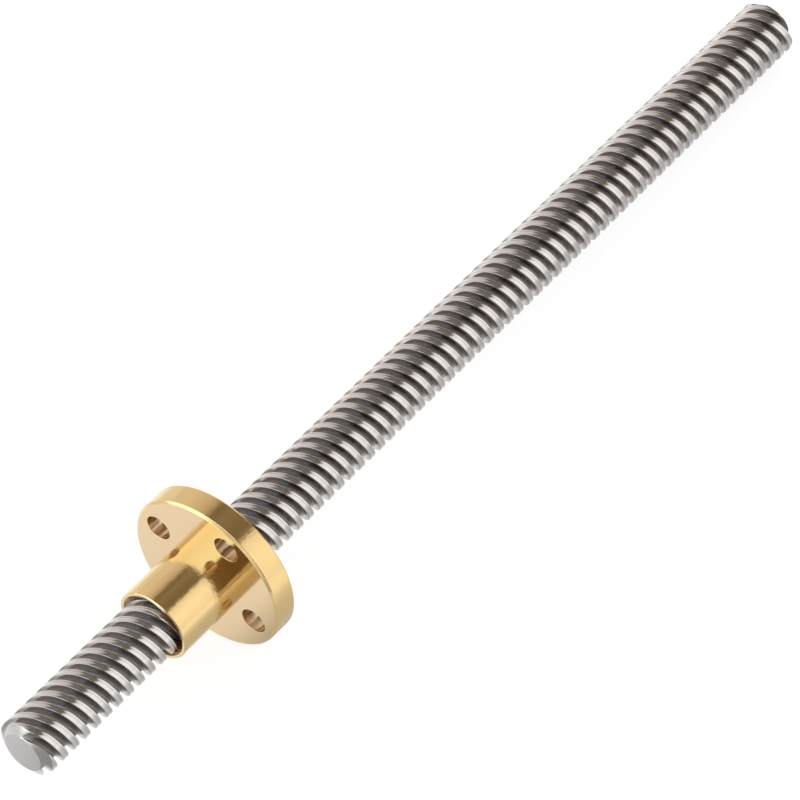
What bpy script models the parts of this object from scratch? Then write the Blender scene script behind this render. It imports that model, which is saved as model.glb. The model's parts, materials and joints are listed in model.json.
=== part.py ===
"""A steel lead screw with a multi-start trapezoidal thread, and the brass flanged nut that runs on it.

The assembly lies on the rim of the nut's flange and on the screw's far end, so the screw
slopes down a little towards +X. Lengths are in metres and angles in radians.
"""

import math

import bmesh
import bpy

# Lead screw: length, and the thread's form
SCREW_LENGTH = 0.150
THREAD_DIAMETER = 0.008
THREAD_PITCH = 0.002
THREAD_STARTS = 4
THREAD_DEPTH = 0.0011
CREST_PER_PITCH = 0.48
FLANK_ANGLE = math.radians(15)

# Lead screw: the turned face and chamfer at each end
END_FACE_DIAMETER = 0.0055
END_CHAMFER_ANGLE = math.radians(60)

# Nut: barrel, flange and collar, from the mouth to the back
NUT_POSITION = 0.02375
BARREL_DIAMETER = 0.010
BARREL_LENGTH = 0.010
FLANGE_DIAMETER = 0.022
FLANGE_THICKNESS = 0.0035
COLLAR_LENGTH = 0.0015

# Nut: bore and edges
BORE_CLEARANCE = 0.0003
BORE_CHAMFER = 0.00025
BARREL_CHAMFER = 0.0002
FLANGE_FRONT_CHAMFER = 0.0004
FLANGE_BACK_CHAMFER = 0.0003

# Nut: fixing holes through the flange, midway between the barrel and the rim
HOLE_COUNT = 4
HOLE_DIAMETER = 0.0035
HOLE_ANGLE = math.radians(21.6)
HOLE_CHAMFER = 0.00015

# Facets in one turn of each form
THREAD_STEPS = 16
END_STEPS = 32
NUT_STEPS = 24
HOLE_STEPS = 20

# How far a cutter reaches past what it cuts
CUT_MARGIN = 0.0005

WELD_DISTANCE = 1e-6
SMOOTH_ANGLE = math.radians(30)

# Sizes that follow from the ones above
THREAD_LEAD = THREAD_PITCH * THREAD_STARTS
CREST_RADIUS = THREAD_DIAMETER / 2
ROOT_RADIUS = CREST_RADIUS - THREAD_DEPTH
THREAD_HALF_FACET = math.pi / THREAD_STEPS
NUT_HALF_FACET = math.pi / NUT_STEPS
BORE_RADIUS = CREST_RADIUS + BORE_CLEARANCE
FLANGE_FRONT = BARREL_LENGTH
FLANGE_BACK = FLANGE_FRONT + FLANGE_THICKNESS
NUT_LENGTH = FLANGE_BACK + COLLAR_LENGTH
HOLE_CIRCLE_RADIUS = (BARREL_DIAMETER + FLANGE_DIAMETER) / 4

# At rest two facets lie on the ground: one of the flange's rim, and one of the crest by the far chamfer
RIM_HEIGHT = FLANGE_DIAMETER / 2 * math.cos(NUT_HALF_FACET)
CREST_HEIGHT = CREST_RADIUS * math.cos(THREAD_HALF_FACET)
RIM_CONTACT = NUT_POSITION + FLANGE_BACK - FLANGE_BACK_CHAMFER
FAR_CONTACT = SCREW_LENGTH - (CREST_HEIGHT - END_FACE_DIAMETER / 2) / math.tan(END_CHAMFER_ANGLE)
REST_TILT = math.atan2(RIM_HEIGHT - CREST_HEIGHT, FAR_CONTACT - RIM_CONTACT)


def new_collection(name, hidden=False):
    collection = bpy.data.collections.new(name)
    collection.hide_render = hidden
    bpy.context.scene.collection.children.link(collection)
    return collection


def metal(name, color, roughness):
    material = bpy.data.materials.new(name)
    material.use_nodes = True
    shader = material.node_tree.nodes["Principled BSDF"]
    shader.inputs["Base Color"].default_value = (*color, 1)
    shader.inputs["Metallic"].default_value = 1
    shader.inputs["Roughness"].default_value = roughness
    material.diffuse_color = (*color, 1)
    return material


def polyline_object(name, points, collection, closed=False):
    """A profile in the XZ plane, given as (radius, height) pairs."""
    mesh = bpy.data.meshes.new(name)
    edges = [(i, i + 1) for i in range(len(points) - 1)]
    if closed:
        edges.append((len(points) - 1, 0))
    mesh.from_pydata([(radius, 0, height) for radius, height in points], edges, [])
    obj = bpy.data.objects.new(name, mesh)
    collection.objects.link(obj)
    return obj


def revolve(obj, steps, rise=0.0):
    """Turns a profile once round its Z axis. A rise makes the turn a helix."""
    screw = obj.modifiers.new("Revolve", "SCREW")
    screw.axis = "Z"
    screw.angle = 2 * math.pi
    screw.screw_offset = rise
    screw.steps = steps
    screw.render_steps = steps
    screw.use_merge_vertices = rise == 0
    screw.merge_threshold = WELD_DISTANCE
    return screw


def bake(obj):
    """Replaces an object's modifiers by the mesh that they give."""
    graph = bpy.context.evaluated_depsgraph_get()
    mesh = bpy.data.meshes.new_from_object(obj.evaluated_get(graph))
    mesh.name = obj.name
    obj.modifiers.clear()
    obj.data = mesh


def shade(obj):
    obj.data.shade_smooth()
    obj.data.set_sharp_from_angle(angle=SMOOTH_ANGLE)


def as_cutter(obj):
    obj.hide_render = True
    obj.display_type = "WIRE"


def combine(obj, other, operation):
    boolean = obj.modifiers.new(f"{operation.title()} {other.name}", "BOOLEAN")
    boolean.operation = operation
    boolean.object = other
    boolean.solver = "EXACT"


def comb_profile():
    """The thread's section through the axis, from beyond the far end down to before the near end.

    One turn lifts the section by one lead, so it starts a lead early to be whole at the near end.
    It stands half a facet before the bottom of the turn, where the helix is lower by the drop.
    """
    half_crest = THREAD_PITCH * CREST_PER_PITCH / 2
    half_tooth = half_crest + THREAD_DEPTH * math.tan(FLANK_ANGLE)
    drop = THREAD_LEAD * THREAD_HALF_FACET / (2 * math.pi)
    first = -(THREAD_STARTS + 1)
    last = math.ceil(SCREW_LENGTH / THREAD_PITCH) + 1
    points = [(0, last * THREAD_PITCH), (ROOT_RADIUS, last * THREAD_PITCH)]
    for tooth in reversed(range(first, last)):
        middle = (tooth + 0.5) * THREAD_PITCH - drop
        points.append((ROOT_RADIUS, middle + half_tooth))
        points.append((CREST_RADIUS, middle + half_crest))
        points.append((CREST_RADIUS, middle - half_crest))
        points.append((ROOT_RADIUS, middle - half_tooth))
    points.append((ROOT_RADIUS, first * THREAD_PITCH))
    points.append((0, first * THREAD_PITCH))
    return points


def close_helix_ends(mesh):
    """Welds the seam where a turn meets the next, and closes the step left at each end."""
    bm = bmesh.new()
    bm.from_mesh(mesh)
    bmesh.ops.remove_doubles(bm, verts=bm.verts, dist=WELD_DISTANCE)
    open_edges = [edge for edge in bm.edges if edge.is_boundary]
    filled = bmesh.ops.holes_fill(bm, edges=open_edges)
    bmesh.ops.triangulate(bm, faces=filled["faces"])
    bmesh.ops.recalc_face_normals(bm, faces=bm.faces)
    bm.to_mesh(mesh)
    bm.free()


def make_lead_screw(parts, cutters, material):
    screw = polyline_object("lead_screw", comb_profile(), parts)
    revolve(screw, THREAD_STEPS, rise=THREAD_LEAD)
    bake(screw)
    close_helix_ends(screw.data)
    screw.rotation_euler.z = -THREAD_HALF_FACET

    # The bar that is left after both ends are faced and chamfered
    face_radius = END_FACE_DIAMETER / 2
    outer_radius = CREST_RADIUS + CUT_MARGIN
    run_out = (outer_radius - face_radius) / math.tan(END_CHAMFER_ANGLE)
    turned_bar = polyline_object(
        "turned_bar",
        [
            (0, SCREW_LENGTH),
            (face_radius, SCREW_LENGTH),
            (outer_radius, SCREW_LENGTH - run_out),
            (outer_radius, run_out),
            (face_radius, 0),
            (0, 0),
        ],
        cutters,
    )
    revolve(turned_bar, END_STEPS)
    as_cutter(turned_bar)

    combine(screw, turned_bar, "INTERSECT")
    shade(screw)
    screw.data.materials.append(material)
    return screw, turned_bar


def nut_profile():
    """The nut's section on one side of its axis, a loop that runs down the outside and up the bore."""
    bore = BORE_RADIUS
    barrel = BARREL_DIAMETER / 2
    flange = FLANGE_DIAMETER / 2
    return [
        (bore + BORE_CHAMFER, NUT_LENGTH),
        (barrel - BARREL_CHAMFER, NUT_LENGTH),
        (barrel, NUT_LENGTH - BARREL_CHAMFER),
        (barrel, FLANGE_BACK),
        (flange - FLANGE_BACK_CHAMFER, FLANGE_BACK),
        (flange, FLANGE_BACK - FLANGE_BACK_CHAMFER),
        (flange, FLANGE_FRONT + FLANGE_FRONT_CHAMFER),
        (flange - FLANGE_FRONT_CHAMFER, FLANGE_FRONT),
        (barrel, FLANGE_FRONT),
        (barrel, BARREL_CHAMFER),
        (barrel - BARREL_CHAMFER, 0),
        (bore + BORE_CHAMFER, 0),
        (bore, BORE_CHAMFER),
        (bore, NUT_LENGTH - BORE_CHAMFER),
    ]


def hole_profile():
    """A drilled hole's section with a broken edge at each face, along the flange's thickness."""
    radius = HOLE_DIAMETER / 2
    flare = radius + HOLE_CHAMFER + CUT_MARGIN
    return [
        (0, FLANGE_BACK + CUT_MARGIN),
        (flare, FLANGE_BACK + CUT_MARGIN),
        (radius, FLANGE_BACK - HOLE_CHAMFER),
        (radius, FLANGE_FRONT + HOLE_CHAMFER),
        (flare, FLANGE_FRONT - CUT_MARGIN),
        (0, FLANGE_FRONT - CUT_MARGIN),
    ]


def make_flange_nut(parts, cutters, material):
    nut = polyline_object("flange_nut", nut_profile(), parts, closed=True)
    revolve(nut, NUT_STEPS)
    bake(nut)
    shade(nut)
    nut.rotation_euler.z = NUT_HALF_FACET

    drills = []
    for number in range(HOLE_COUNT):
        drill = polyline_object(f"drill_{number + 1}", hole_profile(), cutters)
        revolve(drill, HOLE_STEPS)
        as_cutter(drill)
        angle = HOLE_ANGLE + 2 * math.pi * number / HOLE_COUNT
        drill.location = (HOLE_CIRCLE_RADIUS * math.cos(angle), HOLE_CIRCLE_RADIUS * math.sin(angle), 0)
        combine(nut, drill, "DIFFERENCE")
        drills.append(drill)
    nut.data.materials.append(material)
    return nut, drills


def make_empty(name, collection, parent=None):
    empty = bpy.data.objects.new(name, None)
    empty.empty_display_size = THREAD_DIAMETER
    empty.parent = parent
    collection.objects.link(empty)
    return empty


def build():
    for obj in list(bpy.data.objects):
        bpy.data.objects.remove(obj)

    parts = new_collection("trapezoidal_lead_screw")
    cutters = new_collection("cutters", hidden=True)
    steel = metal("rolled_steel", (0.60, 0.58, 0.57), 0.28)
    brass = metal("turned_brass", (0.86, 0.66, 0.36), 0.22)

    # Each empty's Z axis runs along the screw, towards its far end, and its X axis points down
    screw_axis = make_empty("screw_axis", parts)
    screw_axis.rotation_euler.y = math.pi / 2 + REST_TILT
    screw_axis.location = (
        -SCREW_LENGTH / 2 * math.cos(REST_TILT),
        0,
        RIM_CONTACT * math.sin(REST_TILT) + RIM_HEIGHT * math.cos(REST_TILT),
    )
    nut_travel = make_empty("nut_travel", parts, parent=screw_axis)
    nut_travel.location.z = NUT_POSITION

    screw, turned_bar = make_lead_screw(parts, cutters, steel)
    screw.parent = screw_axis
    turned_bar.parent = screw_axis

    nut, drills = make_flange_nut(parts, cutters, brass)
    nut.parent = nut_travel
    for drill in drills:
        drill.parent = nut_travel


build()
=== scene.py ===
"""Dresses the lead screw and its flanged nut: a rolled thread, a tapped nut, their metals and the stage."""

import json
import math

import bmesh
import bpy
from bpy.props import FloatProperty, FloatVectorProperty, IntProperty, PointerProperty
from mathutils import Euler, Matrix, Vector


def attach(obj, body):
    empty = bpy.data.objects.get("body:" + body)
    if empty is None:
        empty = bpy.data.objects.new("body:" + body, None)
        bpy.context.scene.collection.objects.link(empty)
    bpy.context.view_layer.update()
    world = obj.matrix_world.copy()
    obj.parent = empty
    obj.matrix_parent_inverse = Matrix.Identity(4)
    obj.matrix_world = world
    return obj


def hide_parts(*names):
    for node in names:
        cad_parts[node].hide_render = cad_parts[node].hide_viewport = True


bl_info = {
    "name": "Trapezoidal Lead Screw",
    "version": (1, 0, 0),
    "blender": (4, 5, 0),
    "location": "View3D > Sidebar > Lead Screw",
    "description": "Adds a multi-start trapezoidal lead screw and its flanged nut",
    "category": "Add Mesh",
}

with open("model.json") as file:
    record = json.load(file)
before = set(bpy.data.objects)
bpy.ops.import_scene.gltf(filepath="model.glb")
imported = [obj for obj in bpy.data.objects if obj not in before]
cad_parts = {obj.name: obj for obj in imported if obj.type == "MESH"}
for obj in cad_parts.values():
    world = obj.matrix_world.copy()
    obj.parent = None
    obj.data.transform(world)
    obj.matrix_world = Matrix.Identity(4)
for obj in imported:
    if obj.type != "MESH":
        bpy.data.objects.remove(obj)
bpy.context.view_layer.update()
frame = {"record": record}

MOUNTS = {mount["name"]: Vector(mount["pos_m"]) for mount in frame["record"]["mounts"]}
NEAR_END = MOUNTS["drive_end"]
AXIS = (MOUNTS["far_end"] - NEAR_END).normalized()
FLANGE_FACE_AT = (MOUNTS["flange_front"] - NEAR_END).dot(AXIS)

SMOOTH_ANGLE = math.radians(40)
WELD_DISTANCE = 1e-6

# How far the cutting shapes stand past the faces that they cut
CUT_MARGIN = 0.0005

# Facets round each turned form
THREAD_STEPS = 64
BAR_STEPS = 96
NUT_STEPS = 144
HOLE_STEPS = 48

WHITE = (1, 1, 1)

# Height of the metals' fine relief, the share of the matt film over them, and how metallic the painted-shade
# brass inside the nut is
RELIEF_HEIGHT = 0.000008
FILM_SHARE = 0.06
SHADED_BORE_METALLIC = 0.35

# Cells of the fine marks in a metre, or in a radian for the last
STREAKS_ALONG = 60.0
STEEL_RINGS = 9000.0
BRASS_RINGS = 7000.0
DRILL_MARKS_ACROSS = 800.0
DRILL_MARKS_AROUND = 6.4

FLOOR_RADIUS = 4.0
FLOOR_DROP = 0.0001

# Directions square to the screw's axis: over the screw, leaning to the near side, and a quarter turn from
# there towards the floor
OVER_SCREW = Vector((0.056, -0.417, 0.907))
NEAR_SIDE = Vector((-0.026, -0.909, -0.416))
REFLECTOR_RADIUS = 2.0
REFLECTOR_ROWS = 90

# What the metals reflect, round the screw's axis. Each stop is an angle in degrees, from over the screw
# towards the floor on the near side, and the colour there. Polished faces turned towards the near end show
# the first list, or the second where they turn most, and those turned towards the far end show the third.
NEAR_SKY = (
    (-150, (2.20, 2.20, 2.25)),
    (-114, (1.60, 1.66, 1.76)),
    (-80, (1.34, 1.53, 1.90)),
    (-50, (1.40, 1.70, 2.20)),
    (-9, (1.46, 1.80, 2.35)),
    (-3, (0.105, 0.08, 0.062)),
    (65, (0.105, 0.08, 0.062)),
)
END_SKY = (
    (-150, (2.90, 2.90, 2.92)),
    (-114, (2.90, 2.90, 2.92)),
    (-87, (2.60, 2.60, 2.62)),
    (-70, (1.60, 1.60, 1.61)),
    (-52, (0.78, 0.78, 0.78)),
    (-20, (0.62, 0.61, 0.60)),
    (0, (0.75, 0.73, 0.71)),
    (20, (1.00, 0.97, 0.94)),
    (50, (0.75, 0.72, 0.70)),
    (65, (0.70, 0.68, 0.66)),
)
FAR_SKY = (
    (-150, (0.58, 0.55, 0.56)),
    (-114, (0.74, 0.71, 0.73)),
    (-90, (0.78, 0.73, 0.72)),
    (-66, (0.62, 0.56, 0.54)),
    (-57, (0.47, 0.42, 0.38)),
    (-53, (0.24, 0.205, 0.18)),
    (-48, (0.155, 0.133, 0.115)),
    (-34, (0.22, 0.19, 0.165)),
    (-16, (0.16, 0.138, 0.118)),
    (-5, (0.155, 0.133, 0.114)),
    (-1, (0.18, 0.155, 0.135)),
    (3, (0.88, 0.84, 0.81)),
    (12, (1.03, 1.01, 0.99)),
    (30, (1.13, 1.13, 1.13)),
    (58, (1.05, 1.02, 1.00)),
    (65, (0.95, 0.91, 0.88)),
)

# Each reflector's name and colours, and where it starts and ends along the axis from the near end
REFLECTORS = (
    ("end_reflector", END_SKY, -14.0, -2.2),
    ("near_reflector", NEAR_SKY, -2.2, 0.05),
    ("far_reflector", FAR_SKY, 0.05, 14.0),
)


def size(name, description, default):
    return FloatProperty(
        name=name, description=description, default=default, min=0.0, precision=5, unit="LENGTH"
    )


def number_of(name, description, default):
    return IntProperty(name=name, description=description, default=default, min=1)


def angle(name, description, degrees):
    return FloatProperty(
        name=name, description=description, default=math.radians(degrees), subtype="ANGLE"
    )


def color(name, description, default):
    return FloatVectorProperty(
        name=name, description=description, default=default, size=3, min=0.0, max=1.0, subtype="COLOR"
    )


def share(name, description, default):
    return FloatProperty(
        name=name, description=description, default=default, min=0.0, max=1.0, subtype="FACTOR"
    )


class ScrewSizes(bpy.types.PropertyGroup):
    """Sizes of the steel screw"""

    length: size("Length", "Length of the screw over both end faces", (MOUNTS["far_end"] - NEAR_END).length)
    diameter: size("Thread Diameter", "Diameter over the thread's crests", 0.008)
    pitch: size("Pitch", "Distance from one ridge to the next along the screw", 0.002)
    starts: number_of("Starts", "Number of ridges that wind side by side", 4)
    depth: size("Thread Depth", "Depth of the groove below the crests", 0.0011)
    crest_share: share("Crest Share", "Share of the pitch that the flat of the crest takes", 0.48)
    flank_angle: angle("Flank Angle", "Lean of each flank from square to the axis", 15)
    crest_round: size("Crest Rounding", "Radius of the crest's rolled corners", 0.0001)
    root_round: size("Root Rounding", "Radius of the fillets at the bottom of the groove", 0.0002)
    seam_width: size("Seam Width", "Width of the fine seam that rolling leaves along each crest", 0.00012)
    seam_depth: size("Seam Depth", "Depth of that seam", 0.00002)
    seam_shift: size("Seam Shift", "Distance of the seam from the middle of the crest", 0.00013)
    end_diameter: size("End Face Diameter", "Diameter of the flat face at each end", 0.0055)
    chamfer_angle: angle("End Chamfer Angle", "Slope of the chamfer from the axis", 60)
    edge_round: size("End Edge Rounding", "Radius between the end face and its chamfer", 0.00003)


class NutSizes(bpy.types.PropertyGroup):
    """Sizes of the brass nut"""

    barrel_diameter: size("Barrel Diameter", "Diameter of the nut's barrel", 0.010)
    barrel_length: size("Barrel Length", "Length of the barrel from its mouth to the flange", 0.010)
    flange_diameter: size("Flange Diameter", "Diameter of the flange", 0.022)
    flange_thickness: size("Flange Thickness", "Thickness of the flange", 0.0035)
    collar_length: size("Collar Length", "Length of the short collar behind the flange", 0.0015)
    barrel_round: size("Barrel Edge", "Rounding of the barrel's and collar's outer edges", 0.00016)
    front_chamfer: size("Front Chamfer", "Chamfer round the flange's front face", 0.0003)
    back_chamfer: size("Back Chamfer", "Chamfer round the flange's back face", 0.0003)
    corner_round: size("Corner Rounding", "Radius of the fine roundings beside each chamfer", 0.00007)
    mouth_diameter: size("Mouth Diameter", "Width of the countersink at each end of the bore", 0.0092)
    running_gap: size("Running Gap", "Clearance between the two threads along the radius", 0.00025)
    flank_gap: size("Flank Gap", "Clearance between the flanks of the two threads", 0.00005)
    hole_count: number_of("Holes", "Number of fixing holes", 4)
    hole_diameter: size("Hole Diameter", "Diameter of each fixing hole", 0.0035)
    hole_circle: size("Hole Circle", "Diameter of the circle through the holes' centres", 0.016)
    hole_angle: angle("Hole Angle", "Turn of the first hole from the lowest point of the flange", 21.6)
    hole_round: size("Hole Edge", "Rounding of each hole's edges", 0.00005)


class MetalFinishes(bpy.types.PropertyGroup):
    """Colours and finishes of the two metals"""

    crest: color("Crest Steel", "Colour of the bright rolled crests", (0.86, 0.84, 0.83))
    # The groove, flank and flank edge colours are painted shade in the thread
    groove: color("Groove Steel", "Colour of the steel at the bottom of the grooves", (0.30, 0.28, 0.272))
    flank: color("Flank Steel", "Colour of the flanks down in the groove", (0.58, 0.555, 0.545))
    flank_top: color("Flank Edge Steel", "Colour of the oiled upper part of the flanks", (0.37, 0.358, 0.354))
    chamfer: color("Chamfer Steel", "Colour of the turned chamfers", (0.61, 0.595, 0.585))
    end_face: color("End Steel", "Colour of the sawn and faced ends", (0.60, 0.57, 0.565))
    seam: color("Seam Steel", "Colour of the fine seam along each crest", (0.30, 0.28, 0.27))
    past_seam: color("Steel Past the Seam", "Colour of the duller steel past that seam", (0.50, 0.48, 0.47))
    barrel: color("Turned Brass", "Colour of the polished barrel and rim", (0.96, 0.73, 0.365))
    # Painted reflection: the paler, greyer brass of the faced surfaces
    faced: color("Faced Brass", "Colour of the paler faced surfaces", (0.845, 0.675, 0.44))
    bored: color("Bored Brass", "Colour of the walls of the fixing holes", (0.86, 0.74, 0.60))
    drill_mark: color("Drill Mark", "Colour of the dark marks on those walls", (0.46, 0.33, 0.22))
    # Painted shade: the dark brown thread inside the nut
    tapped: color("Tapped Brass", "Colour of the oiled thread inside the nut", (0.36, 0.21, 0.11))
    film: color("Brass Film", "Colour of the thin film of oil and tarnish on the brass", (0.90, 0.42, 0.03))
    dust: color("Dust", "Colour of the dust in the grooves by the near end", (0.52, 0.49, 0.46))
    steel_roughness: share("Steel Roughness", "Roughness of the rolled crests", 0.15)
    groove_roughness: share("Groove Roughness", "Roughness of the steel down in the grooves", 0.42)
    chamfer_roughness: share("Chamfer Roughness", "Roughness of the turned chamfers", 0.22)
    end_roughness: share("End Roughness", "Roughness of the sawn and faced ends", 0.55)
    brass_roughness: share("Brass Roughness", "Roughness of the turned barrel", 0.11)
    faced_roughness: share("Faced Roughness", "Roughness of the faced brass", 0.07)


class StageSettings(bpy.types.PropertyGroup):
    """Floor, light, lamp and camera"""

    floor: color("Floor", "Colour of the floor", (0.30, 0.30, 0.30))
    floor_glow: share("Floor Glow", "How much of the floor's white shows apart from its lighting", 0.78)
    # The near, end and behind shares are painted shade on the floor, seen only in the metals
    floor_near: share("Floor Near", "Share of that white that the metals show close beside the screw", 0.42)
    floor_end: share("Floor End", "Share that the metals show past the screw's near end", 0.26)
    floor_behind: share("Floor Behind", "Share that the metals show farther off, behind the screw", 0.70)
    room_light: share("Room Light", "Level of the plain light all round", 0.85)
    lamp_power: FloatProperty(
        name="Lamp Power", description="Power of the soft lamp", default=1.2, unit="POWER"
    )
    lamp_size: size("Lamp Size", "Width of the soft lamp", 0.5)
    lamp_at: FloatVectorProperty(
        name="Lamp", description="Place of the soft lamp", default=(-0.25, -0.45, 0.65), subtype="XYZ"
    )
    camera_at: FloatVectorProperty(
        name="Camera",
        description="Place of the camera",
        default=(-0.315180, -0.245489, 0.562674),
        subtype="XYZ",
    )
    camera_turn: FloatVectorProperty(
        name="Camera Turn",
        description="Rotation of the camera",
        default=(math.radians(35.461), 0.0, math.radians(-51.776)),
        subtype="EULER",
    )
    lens: FloatProperty(name="Lens", description="Focal length", default=248.07, unit="CAMERA")


def add_object(name, data):
    added = bpy.data.objects.new(name, data)
    bpy.context.scene.collection.objects.link(added)
    return added


def along_axis(distance):
    """Places a shape that is modelled along Z on the screw's axis, at that distance from the near end."""
    across = Vector((0, 1, 0))
    down = across.cross(AXIS)
    turn = Matrix((down, across, AXIS)).transposed().to_4x4()
    return Matrix.Translation(NEAR_END + AXIS * distance) @ turn


def rounded(points, radii, steps=3):
    """Swaps each corner of an outline for an arc of its radius. A radius of 0, as at both ends, keeps it."""
    outline = []
    for index, (point, radius) in enumerate(zip(points, radii)):
        corner = Vector(point)
        if radius == 0:
            outline.append(tuple(corner))
            continue
        back = (Vector(points[index - 1]) - corner).normalized()
        ahead = (Vector(points[index + 1]) - corner).normalized()
        half = back.angle(ahead) / 2
        middle = corner + (back + ahead).normalized() * radius / math.sin(half)
        start = corner + back * radius / math.tan(half) - middle
        end = corner + ahead * radius / math.tan(half) - middle
        sweep = start.angle(end)
        for step in range(steps + 1):
            part = step / steps
            spoke = start * math.sin((1 - part) * sweep) + end * math.sin(part * sweep)
            outline.append(tuple(middle + spoke / math.sin(sweep)))
    return outline


def outline_object(name, points):
    """An outline in the XZ plane, given as (radius, height) pairs."""
    mesh = bpy.data.meshes.new(name)
    edges = [(index, index + 1) for index in range(len(points) - 1)]
    mesh.from_pydata([(radius, 0, height) for radius, height in points], edges, [])
    return add_object(name, mesh)


def revolve(piece, steps, rise=0.0):
    """Turns an outline once round the Z axis, as a helix if it also rises, and closes what is left open."""
    screw = piece.modifiers.new("Revolve", "SCREW")
    screw.axis = "Z"
    screw.angle = math.tau
    screw.screw_offset = rise
    screw.steps = screw.render_steps = steps
    apply_modifiers(piece)
    bm = bmesh.new()
    bm.from_mesh(piece.data)
    bmesh.ops.remove_doubles(bm, verts=bm.verts, dist=WELD_DISTANCE)
    filled = bmesh.ops.holes_fill(bm, edges=[edge for edge in bm.edges if edge.is_boundary])
    bmesh.ops.triangulate(bm, faces=filled["faces"])
    bmesh.ops.recalc_face_normals(bm, faces=bm.faces)
    bm.to_mesh(piece.data)
    bm.free()


def apply_modifiers(piece):
    graph = bpy.context.evaluated_depsgraph_get()
    mesh = bpy.data.meshes.new_from_object(piece.evaluated_get(graph))
    piece.modifiers.clear()
    old = piece.data
    piece.data = mesh
    bpy.data.meshes.remove(old)
    mesh.name = piece.name


def combine(piece, tools, operation):
    """Cuts the tools from the piece, or keeps what they share, and takes the tools away."""
    for tool in tools:
        boolean = piece.modifiers.new(tool.name, "BOOLEAN")
        boolean.operation = operation
        boolean.object = tool
        boolean.solver = "EXACT"
    apply_modifiers(piece)
    for tool in tools:
        bpy.data.objects.remove(tool)


def finish_piece(piece, body, node, material):
    if not piece.data.polygons:
        raise RuntimeError(f"{piece.name} has no faces: a cut removed all of it")
    piece.data.materials.clear()
    piece.data.materials.append(material)
    piece.data.shade_smooth()
    piece.data.set_sharp_from_angle(angle=SMOOTH_ANGLE)
    flatten = piece.modifiers.new("Flatten", "WEIGHTED_NORMAL")
    flatten.keep_sharp = True
    apply_modifiers(piece)
    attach(piece, body)
    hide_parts(node)


def thread_outline(sizes, low, high, gap=0.0, flank_gap=0.0, seam=True):
    """The section of the ridges through the axis, from the ridge numbered low up to high.

    A gap makes them larger all round, as the tap is that cuts the nut.
    """
    crest = sizes.diameter / 2 + gap
    root = sizes.diameter / 2 - sizes.depth + gap
    lean = math.tan(sizes.flank_angle)
    half_crest = sizes.pitch * sizes.crest_share / 2 - gap * lean + flank_gap
    half_tooth = half_crest + sizes.depth * lean
    half_pitch = sizes.pitch / 2
    half_seam = sizes.seam_width / 2
    top = [(crest, -half_crest), (crest, half_crest)]
    top_radii = [sizes.crest_round, sizes.crest_round]
    if seam:
        middle = sizes.seam_shift
        top[1:1] = [
            (crest, middle - half_seam),
            (crest - sizes.seam_depth, middle),
            (crest, middle + half_seam),
        ]
        top_radii[1:1] = [0, 0, 0]
    tooth = rounded(
        [(root, -half_pitch), (root, -half_tooth), *top, (root, half_tooth), (root, half_pitch)],
        [0, sizes.root_round, *top_radii, sizes.root_round, 0],
    )
    outline = [(0, low * sizes.pitch)]
    for number in range(low, high):
        middle = (number + 0.5) * sizes.pitch
        outline += [(radius, middle + height) for radius, height in tooth[:-1]]
    outline += [(root, high * sizes.pitch), (0, high * sizes.pitch)]
    return outline


def empty_tree(owner):
    """Gives a material or a world a node tree with nothing in it."""
    owner.use_nodes = True
    owner.node_tree.nodes.clear()
    return owner.node_tree


def new_material(name):
    material = bpy.data.materials.new(name)
    return material, empty_tree(material)


def add_node(tree, kind, inputs=None, **settings):
    """Adds a shader node. Each input is a value or another node's output."""
    node = tree.nodes.new(kind)
    for key, value in settings.items():
        setattr(node, key, value)
    for key, value in (inputs or {}).items():
        if isinstance(value, bpy.types.NodeSocket):
            tree.links.new(value, node.inputs[key])
        else:
            node.inputs[key].default_value = value
    return node


def math_node(tree, operation, *values):
    return add_node(tree, "ShaderNodeMath", dict(enumerate(values)), operation=operation).outputs[0]


def plus(tree, first, second):
    return math_node(tree, "ADD", first, second)


def minus(tree, first, second):
    return math_node(tree, "SUBTRACT", first, second)


def times(tree, first, second):
    return math_node(tree, "MULTIPLY", first, second)


def opposite(tree, value):
    """1 where the value is 0, and 0 where it is 1."""
    return minus(tree, 1.0, value)


def vector_of(tree, x, y, z):
    return add_node(tree, "ShaderNodeCombineXYZ", {0: x, 1: y, 2: z}).outputs[0]


def fade(tree, value, start, end):
    """0 up to the start, 1 from the end on, and smooth between them."""
    node = add_node(
        tree, "ShaderNodeMapRange", {0: value, 1: start, 2: end}, interpolation_type="SMOOTHSTEP", clamp=True
    )
    return node.outputs[0]


def noise(tree, vector, scale, detail, roughness=0.55):
    inputs = {"Vector": vector, "Scale": scale, "Detail": detail, "Roughness": roughness}
    return add_node(tree, "ShaderNodeTexNoise", inputs).outputs["Fac"]


def mix_colors(tree, factor, first, second, blend="MIX"):
    """Mixes two colours, each given as three numbers or as another node's output."""
    first, second = (
        end if isinstance(end, bpy.types.NodeSocket) else (*end, 1) for end in (first, second)
    )
    inputs = {0: factor, 6: first, 7: second}
    return add_node(tree, "ShaderNodeMix", inputs, data_type="RGBA", blend_type=blend).outputs[2]


def mix_values(tree, factor, first, second):
    node = add_node(tree, "ShaderNodeMix", {0: factor, 2: first, 3: second}, data_type="FLOAT")
    return node.outputs[0]


def tint(tree, metal, amount, low, high):
    """Multiplies a colour by one that goes from low to high as the amount goes from 0 to 1."""
    return mix_colors(tree, 1.0, metal, mix_colors(tree, amount, low, high), "MULTIPLY")


def round_places(tree):
    """Place on a turned piece: its own coordinates, height, radius, angle round the axis and how far the
    surface faces along the axis, from -1 to 1."""
    place = add_node(tree, "ShaderNodeTexCoord").outputs
    x, y, height = add_node(tree, "ShaderNodeSeparateXYZ", {0: place["Object"]}).outputs
    squares = plus(tree, math_node(tree, "POWER", x, 2), math_node(tree, "POWER", y, 2))
    radius = math_node(tree, "SQRT", squares)
    around = math_node(tree, "ARCTAN2", y, x)
    ahead = add_node(tree, "ShaderNodeSeparateXYZ", {0: place["Normal"]}).outputs[2]
    return place["Object"], height, radius, around, ahead


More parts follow.
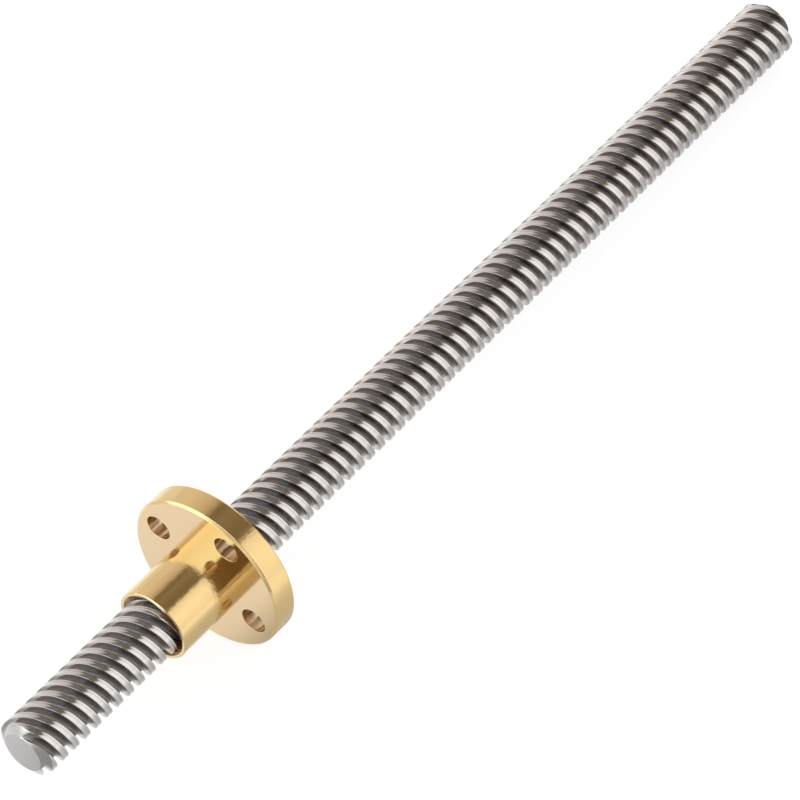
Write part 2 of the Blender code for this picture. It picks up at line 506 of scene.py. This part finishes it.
def finish_metal(tree, base, roughness, metallic, relief, relief_strength, film, film_share):
    """Joins a metal's colour, gloss and relief, under a thin matt film."""
    bump = add_node(
        tree, "ShaderNodeBump", {"Height": relief, "Distance": RELIEF_HEIGHT, "Strength": relief_strength}
    )
    inputs = {"Base Color": base, "Roughness": roughness, "Metallic": metallic, "Normal": bump.outputs[0]}
    metal = add_node(tree, "ShaderNodeBsdfPrincipled", inputs)
    matte = add_node(tree, "ShaderNodeBsdfDiffuse", {"Color": (*film, 1)})
    both = {0: film_share, 1: metal.outputs[0], 2: matte.outputs[0]}
    surface = add_node(tree, "ShaderNodeMixShader", both)
    add_node(tree, "ShaderNodeOutputMaterial", {0: surface.outputs[0]})


def rolled_steel(sizes, finish):
    """Bright rolled crests, painted shade on the flanks and down in the grooves, and chamfered and faced
    ends.
    """
    material, tree = new_material("rolled_steel")
    place, height, radius, around, ahead = round_places(tree)
    crest_radius = sizes.diameter / 2
    root_radius = crest_radius - sizes.depth

    # The phase makes one turn from groove to groove, so marks that follow it wind with the ridges
    phase = minus(
        tree, times(tree, height, math.tau / sizes.pitch), times(tree, around, float(sizes.starts))
    )
    sine = math_node(tree, "SINE", phase)
    wound = vector_of(tree, math_node(tree, "COSINE", phase), sine, times(tree, height, STREAKS_ALONG))
    streaks = noise(tree, wound, scale=5.0, detail=3.0)
    grain = noise(tree, place, scale=3000.0, detail=2.0)
    stains = noise(tree, place, scale=240.0, detail=3.0)

    # Painted shade: the steel is dark down in the grooves, and on the flanks it is darkest at their upper
    # edge and reaches round that edge on the side that faces the near end
    raised = fade(tree, radius, root_radius + 0.0002, root_radius + 0.0004)
    metal = mix_colors(tree, raised, finish.groove, finish.crest)
    near_flank = opposite(tree, fade(tree, ahead, -0.66, -0.14))
    far_flank = fade(tree, ahead, 0.70, 0.93)
    upper = fade(tree, radius, root_radius + 0.0003, root_radius + 0.0008)
    shaded = mix_colors(tree, upper, finish.flank, finish.flank_top)
    metal = mix_colors(tree, math_node(tree, "MAXIMUM", near_flank, far_flank), metal, shaded)

    # A painted warm cast on the reflections: parts that face the near end are slightly warmer, most of all at
    # the crest's edge
    edge = fade(tree, radius, crest_radius - 0.00022, crest_radius - 0.00010)
    warm_cast = mix_colors(tree, edge, (1, 0.96, 0.91), (1, 0.93, 0.84))
    metal = tint(tree, metal, fade(tree, ahead, -0.02, -0.30), WHITE, warm_cast)
    metal = tint(tree, metal, stains, (0.92, 0.90, 0.89), WHITE)
    metal = tint(tree, metal, streaks, (0.86, 0.85, 0.845), WHITE)

    # The crests are dark along the seam and a little duller past it
    seam_turn = math.pi + math.tau * sizes.seam_shift / sizes.pitch
    along_seam = fade(tree, math_node(tree, "COSINE", minus(tree, phase, seam_turn)), 0.955, 0.995)
    on_crest = fade(tree, radius, crest_radius - 0.0002, crest_radius - 0.00008)
    seam_share = times(tree, times(tree, along_seam, on_crest), 0.35)
    metal = mix_colors(tree, seam_share, metal, finish.seam)
    past_seam_share = times(tree, fade(tree, sine, 0.15, -0.25), 0.10)
    metal = mix_colors(tree, past_seam_share, metal, finish.past_seam)

    # The chamfers are the cones that widen from the end faces
    from_end = math_node(tree, "MINIMUM", height, minus(tree, sizes.length, height))
    slope = math.tan(sizes.chamfer_angle)
    cone = math_node(tree, "MULTIPLY_ADD", from_end, slope, sizes.end_diameter / 2)
    off_cone = math_node(tree, "ABSOLUTE", minus(tree, radius, cone))
    chamfered = opposite(tree, fade(tree, off_cone, 0.00002, 0.00004))
    metal = mix_colors(tree, chamfered, metal, finish.chamfer)

    faced = fade(tree, math_node(tree, "ABSOLUTE", ahead), 0.985, 0.995)
    ring_place = vector_of(tree, times(tree, radius, STEEL_RINGS), 0.0, 0.0)
    rings = noise(tree, ring_place, scale=1.0, detail=2.0)
    end_metal = tint(tree, finish.end_face, grain, (0.92, 0.92, 0.92), WHITE)
    metal = mix_colors(tree, faced, metal, end_metal)

    roughness = mix_values(tree, raised, finish.groove_roughness, finish.steel_roughness)
    roughness = plus(tree, roughness, times(tree, grain, 0.05))
    roughness = mix_values(tree, chamfered, roughness, finish.chamfer_roughness)
    roughness = mix_values(tree, faced, roughness, finish.end_roughness)
    relief = plus(tree, times(tree, grain, 0.07), times(tree, streaks, 0.02))
    relief = mix_values(tree, chamfered, relief, rings)
    relief = mix_values(tree, faced, relief, plus(tree, rings, grain))

    # The grooves are dusty close to the near end
    below_crest = opposite(tree, fade(tree, radius, crest_radius - 0.0002, crest_radius - 0.0001))
    dusty = times(tree, below_crest, fade(tree, height, 0.050, 0.018))
    finish_metal(
        tree,
        metal,
        roughness,
        metallic=1.0,
        relief=relief,
        relief_strength=0.4,
        film=finish.dust,
        film_share=times(tree, dusty, FILM_SHARE),
    )
    return material


def turned_brass(sizes, finish):
    """Polished round the barrel and rim, finely ringed on the faced surfaces, and paler there as a painted
    reflection.
    """
    material, tree = new_material("turned_brass")
    place, height, radius, around, ahead = round_places(tree)
    facing = math_node(tree, "ABSOLUTE", ahead)
    faced = fade(tree, facing, 0.90, 0.98)
    ring_place = vector_of(tree, times(tree, radius, BRASS_RINGS), times(tree, height, BRASS_RINGS), 0.0)
    rings = noise(tree, ring_place, scale=1.0, detail=3.0, roughness=0.6)
    grain = noise(tree, place, scale=3600.0, detail=4.0)
    clouds = noise(tree, place, scale=230.0, detail=3.0)
    rubbed = noise(tree, place, scale=900.0, detail=2.0)
    # Painted reflection: the faced surfaces get a paler, greyer brass
    metal = mix_colors(tree, faced, finish.barrel, finish.faced)

    # The walls of the fixing holes have dark marks down them
    off_circle = math_node(tree, "ABSOLUTE", minus(tree, radius, sizes.hole_circle / 2))
    near_hole = math_node(tree, "LESS_THAN", off_circle, sizes.hole_diameter / 2 + 0.0002)
    upright = opposite(tree, fade(tree, facing, 0.2, 0.7))
    marks_across = times(tree, radius, DRILL_MARKS_ACROSS)
    marks_around = times(tree, around, DRILL_MARKS_AROUND)
    marks = noise(tree, vector_of(tree, marks_across, marks_around, 0.0), scale=1.0, detail=2.0)
    drilled = mix_colors(tree, fade(tree, marks, 0.38, 0.52), finish.drill_mark, finish.bored)
    metal = mix_colors(tree, times(tree, upright, near_hole), metal, drilled)

    mouth_radius = sizes.mouth_diameter / 2
    # Painted shade inside the nut: the thread in the bore is dark brown and less metallic
    inside = opposite(tree, fade(tree, radius, mouth_radius - 0.0001, mouth_radius))
    metal = mix_colors(tree, inside, metal, finish.tapped)
    metal = tint(tree, metal, clouds, (0.93, 0.90, 0.86), WHITE)
    metal = tint(tree, metal, rings, (0.94, 0.93, 0.91), WHITE)

    roughness = mix_values(tree, faced, finish.brass_roughness, finish.faced_roughness)
    roughness = plus(tree, roughness, times(tree, rubbed, 0.06))
    ringed = times(tree, rings, mix_values(tree, faced, 0.9, 0.25))
    uneven = plus(tree, times(tree, grain, 2.4), times(tree, rubbed, 8.0))
    uneven = times(tree, uneven, mix_values(tree, faced, 1.0, 0.10))
    finish_metal(
        tree,
        metal,
        roughness,
        metallic=mix_values(tree, inside, 1.0, SHADED_BORE_METALLIC),
        relief=plus(tree, ringed, uneven),
        relief_strength=0.3,
        film=finish.film,
        film_share=FILM_SHARE,
    )
    return material


def make_lead_screw(sizes, finish):
    """The steel screw: its ridges swept round the axis, then faced and chamfered at both ends."""
    # Each ridge rises by all the starts' pitches in its one turn, so the outline begins that much lower
    first = -(sizes.starts + 1)
    last = math.ceil(sizes.length / sizes.pitch) + 1
    screw = outline_object("lead_screw_thread", thread_outline(sizes, first, last))
    revolve(screw, THREAD_STEPS, rise=sizes.pitch * sizes.starts)

    face = sizes.end_diameter / 2
    outer = sizes.diameter / 2 + CUT_MARGIN
    run_out = (outer - face) / math.tan(sizes.chamfer_angle)
    half_bar = [(0, 0), (face, 0), (outer, run_out)]
    bar_points = half_bar + [(radius, sizes.length - height) for radius, height in reversed(half_bar)]
    edge = sizes.edge_round
    bar = outline_object("turned_bar", rounded(bar_points, [0, edge, 0, 0, edge, 0], steps=2))
    revolve(bar, BAR_STEPS)
    combine(screw, [bar], "INTERSECT")
    screw.matrix_world = along_axis(0.0)
    finish_piece(screw, "screw", "lead_screw", rolled_steel(sizes, finish))


def nut_blank(nut, screw):
    """Half of the nut's section before it is tapped, from the axis at the mouth to the axis at the back."""
    barrel, flange, mouth = nut.barrel_diameter / 2, nut.flange_diameter / 2, nut.mouth_diameter / 2
    front = nut.barrel_length
    back = front + nut.flange_thickness
    end = back + nut.collar_length
    core = screw.diameter / 2 - screw.depth
    sink = mouth - core
    edge, fine = nut.barrel_round, nut.corner_round
    corners = [
        ((0, sink), 0),
        ((core, sink), 0),
        ((mouth, 0), fine),
        ((barrel, 0), edge),
        ((barrel, front), 0),
        ((flange - nut.front_chamfer, front), fine),
        ((flange, front + nut.front_chamfer), fine),
        ((flange, back - nut.back_chamfer), fine),
        ((flange - nut.back_chamfer, back), fine),
        ((barrel, back), 0),
        ((barrel, end), edge),
        ((mouth, end), fine),
        ((core, end - sink), 0),
        ((0, end - sink), 0),
    ]
    return rounded([point for point, _ in corners], [radius for _, radius in corners])


def hole_outline(nut):
    """A fixing hole's section along the flange's thickness, flared round both its edges."""
    radius, edge = nut.hole_diameter / 2, nut.hole_round
    front = nut.barrel_length
    back = front + nut.flange_thickness
    turns = [math.radians(degrees) for degrees in (0, 28, 56, 84)]
    flare = [(radius + edge - edge * math.cos(turn), edge - edge * math.sin(turn)) for turn in turns]
    near = [(r, front + h) for r, h in flare]
    far = [(r, back - h) for r, h in flare]
    wide = radius + edge
    return [
        (0, front - CUT_MARGIN),
        (wide, front - CUT_MARGIN),
        *reversed(near),
        *far,
        (wide, back + CUT_MARGIN),
        (0, back + CUT_MARGIN),
    ]


def make_flange_nut(nut, screw, finish):
    """The brass nut: turned from a bar, tapped in step with the screw, and drilled."""
    mouth_at = FLANGE_FACE_AT - nut.barrel_length
    piece = outline_object("flange_nut_tapped", nut_blank(nut, screw))
    revolve(piece, NUT_STEPS)

    # The tap winds with the screw's ridges, and has spare ones past both ends of the nut
    end_at = mouth_at + nut.barrel_length + nut.flange_thickness + nut.collar_length
    spare = 2
    first = math.floor(mouth_at / screw.pitch) - screw.starts - spare
    last = math.ceil(end_at / screw.pitch) + spare
    outline = thread_outline(screw, first, last, nut.running_gap, nut.flank_gap, seam=False)
    tap = outline_object("tap", outline)
    revolve(tap, THREAD_STEPS, rise=screw.pitch * screw.starts)
    tap.location.z = -mouth_at

    tools = [tap]
    for number in range(nut.hole_count):
        drill = outline_object(f"drill_{number + 1}", hole_outline(nut))
        revolve(drill, HOLE_STEPS)
        turn = nut.hole_angle + math.tau * number / nut.hole_count
        drill.location = (nut.hole_circle / 2 * math.cos(turn), nut.hole_circle / 2 * math.sin(turn), 0)
        tools.append(drill)
    bpy.context.view_layer.update()
    combine(piece, tools, "DIFFERENCE")
    piece.matrix_world = along_axis(mouth_at)
    finish_piece(piece, "nut", "flange_nut", turned_brass(nut, finish))


def seen_rays(tree):
    """1 for rays from the camera, from gloss and through glass, and 0 for the light that falls on things."""
    path = add_node(tree, "ShaderNodeLightPath")
    seen = math_node(tree, "MAXIMUM", path.outputs["Is Camera Ray"], path.outputs["Is Glossy Ray"])
    return math_node(tree, "MAXIMUM", seen, path.outputs["Is Transmission Ray"])


def make_floor(stage):
    floor = add_object("floor", bpy.data.meshes.new("floor"))
    bm = bmesh.new()
    bmesh.ops.create_circle(bm, cap_ends=True, radius=FLOOR_RADIUS, segments=96)
    bm.to_mesh(floor.data)
    bm.free()
    floor.location.z = -FLOOR_DROP
    material, tree = new_material("floor_paper")
    matte = add_node(tree, "ShaderNodeBsdfDiffuse", {"Color": (*stage.floor, 1)})
    path = add_node(tree, "ShaderNodeLightPath")
    place = add_node(tree, "ShaderNodeTexCoord").outputs["Object"]
    along, aside, _ = add_node(tree, "ShaderNodeSeparateXYZ", {0: place}).outputs

    # Painted shade on the floor, seen only in the metals: they show less of the floor's white close beside
    # the screw, past its near end and behind it
    open_floor = math_node(
        tree, "MAXIMUM", fade(tree, aside, -0.008, -0.001), fade(tree, aside, -0.014, -0.070)
    )
    in_metal = mix_values(tree, open_floor, stage.floor_glow * stage.floor_near, stage.floor_glow)
    past_end = fade(tree, along, -0.0775, -0.0805)
    past_end = times(tree, past_end, opposite(tree, fade(tree, aside, 0.001, 0.006)))
    in_metal = times(tree, in_metal, mix_values(tree, past_end, 1.0, stage.floor_end))
    behind = fade(tree, aside, 0.032, 0.048)
    in_metal = times(tree, in_metal, mix_values(tree, behind, 1.0, stage.floor_behind))

    glow_level = mix_values(tree, path.outputs["Is Glossy Ray"], stage.floor_glow, in_metal)
    glow = add_node(tree, "ShaderNodeEmission", {"Strength": times(tree, seen_rays(tree), glow_level)})
    both = add_node(tree, "ShaderNodeAddShader", {0: matte.outputs[0], 1: glow.outputs[0]})
    add_node(tree, "ShaderNodeOutputMaterial", {0: both.outputs[0]})
    floor.data.materials.append(material)


def make_reflector(name, levels, low_end, high_end):
    """A wide curved reflector over the screw, seen only in the metals, with a colour for each angle round
    it. Its ends are distances along the axis from the near end."""
    low, high = levels[0][0], levels[-1][0]
    verts, faces = [], []
    for row in range(REFLECTOR_ROWS + 1):
        turn = math.radians(low + (high - low) * row / REFLECTOR_ROWS)
        spoke = NEAR_END + (OVER_SCREW * math.cos(turn) + NEAR_SIDE * math.sin(turn)) * REFLECTOR_RADIUS
        verts += [spoke + AXIS * low_end, spoke + AXIS * high_end]
    for row in range(REFLECTOR_ROWS):
        faces.append((2 * row, 2 * row + 1, 2 * row + 3, 2 * row + 2))
    mesh = bpy.data.meshes.new(name)
    mesh.from_pydata(verts, [], faces)
    across = mesh.uv_layers.new(name="across")
    for loop in mesh.loops:
        across.data[loop.index].uv = (loop.vertex_index % 2, (loop.vertex_index // 2) / REFLECTOR_ROWS)
    reflector = add_object(name, mesh)
    reflector.visible_camera = reflector.visible_diffuse = False
    reflector.visible_shadow = reflector.visible_transmission = False
    material, tree = new_material(name)
    place = add_node(tree, "ShaderNodeUVMap", uv_map="across")
    part = add_node(tree, "ShaderNodeSeparateXYZ", {0: place.outputs[0]}).outputs[1]
    ramp = add_node(tree, "ShaderNodeValToRGB", {0: part})
    stops = ramp.color_ramp.elements
    while len(stops) < len(levels):
        stops.new(1.0)
    for stop, (turn, level) in zip(stops, levels):
        stop.position = (turn - low) / (high - low)
        stop.color = (*level, 1)
    glow = add_node(tree, "ShaderNodeEmission", {"Color": ramp.outputs[0], "Strength": 1.0})
    add_node(tree, "ShaderNodeOutputMaterial", {0: glow.outputs[0]})
    mesh.materials.append(material)


def make_world(stage):
    world = bpy.data.worlds.new("studio")
    tree = empty_tree(world)
    level = mix_values(tree, seen_rays(tree), stage.room_light, 1.0)
    back = add_node(tree, "ShaderNodeBackground", {"Color": (*WHITE, 1), "Strength": level})
    add_node(tree, "ShaderNodeOutputWorld", {0: back.outputs[0]})
    bpy.context.scene.world = world


def make_lamp(stage):
    lamp = bpy.data.lights.new("soft_lamp", "AREA")
    lamp.energy = stage.lamp_power
    lamp.size = stage.lamp_size
    holder = add_object("soft_lamp", lamp)
    holder.location = stage.lamp_at
    holder.rotation_euler = Vector(holder.location).to_track_quat("Z", "Y").to_euler()
    holder.visible_glossy = False


def make_camera(stage):
    camera = bpy.data.cameras.new("photo_camera")
    camera.lens = stage.lens
    camera.sensor_width = 36.0
    camera.clip_start = 0.01
    camera.clip_end = 20.0
    holder = add_object("photo_camera", camera)
    holder.location = stage.camera_at
    holder.rotation_euler = Euler(stage.camera_turn)
    bpy.context.scene.camera = holder


class LEADSCREW_OT_add_screw(bpy.types.Operator):
    """Add the steel screw with its rolled thread"""

    bl_idname = "leadscrew.add_screw"
    bl_label = "Lead Screw"
    bl_options = {"REGISTER", "UNDO"}

    def execute(self, context):
        make_lead_screw(context.scene.screw_sizes, context.scene.metal_finishes)
        return {"FINISHED"}


class LEADSCREW_OT_add_nut(bpy.types.Operator):
    """Add the flanged brass nut, tapped to run on the screw"""

    bl_idname = "leadscrew.add_nut"
    bl_label = "Flanged Nut"
    bl_options = {"REGISTER", "UNDO"}

    def execute(self, context):
        scene = context.scene
        make_flange_nut(scene.nut_sizes, scene.screw_sizes, scene.metal_finishes)
        return {"FINISHED"}


class LEADSCREW_OT_set_stage(bpy.types.Operator):
    """Set the floor, the light all round, the reflectors, the lamp and the camera"""

    bl_idname = "leadscrew.set_stage"
    bl_label = "Stage"
    bl_options = {"REGISTER", "UNDO"}

    def execute(self, context):
        stage = context.scene.stage_settings
        make_world(stage)
        make_floor(stage)
        for reflector in REFLECTORS:
            make_reflector(*reflector)
        make_lamp(stage)
        make_camera(stage)
        context.scene.view_settings.view_transform = "Standard"
        return {"FINISHED"}


class LEADSCREW_PT_pieces(bpy.types.Panel):
    """Lists the pieces of the lead screw and their sizes"""

    bl_idname = "LEADSCREW_PT_pieces"
    bl_label = "Lead Screw"
    bl_space_type = "VIEW_3D"
    bl_region_type = "UI"
    bl_category = "Lead Screw"

    def draw(self, context):
        for operator, group in (
            (LEADSCREW_OT_add_screw, context.scene.screw_sizes),
            (LEADSCREW_OT_add_nut, context.scene.nut_sizes),
            (None, context.scene.metal_finishes),
            (LEADSCREW_OT_set_stage, context.scene.stage_settings),
        ):
            box = self.layout.box()
            if operator:
                box.operator(operator.bl_idname)
            for name in group.__annotations__:
                box.prop(group, name)


CLASSES = (
    ScrewSizes,
    NutSizes,
    MetalFinishes,
    StageSettings,
    LEADSCREW_OT_add_screw,
    LEADSCREW_OT_add_nut,
    LEADSCREW_OT_set_stage,
    LEADSCREW_PT_pieces,
)

GROUPS = {
    "screw_sizes": ScrewSizes,
    "nut_sizes": NutSizes,
    "metal_finishes": MetalFinishes,
    "stage_settings": StageSettings,
}


def register():
    for cls in CLASSES:
        bpy.utils.register_class(cls)
    for name, group in GROUPS.items():
        setattr(bpy.types.Scene, name, PointerProperty(type=group))


def unregister():
    for name in GROUPS:
        delattr(bpy.types.Scene, name)
    for cls in reversed(CLASSES):
        bpy.utils.unregister_class(cls)


def main():
    register()
    bpy.ops.leadscrew.add_screw()
    bpy.ops.leadscrew.add_nut()
    bpy.ops.leadscrew.set_stage()


if __name__ == "__main__":
    main()
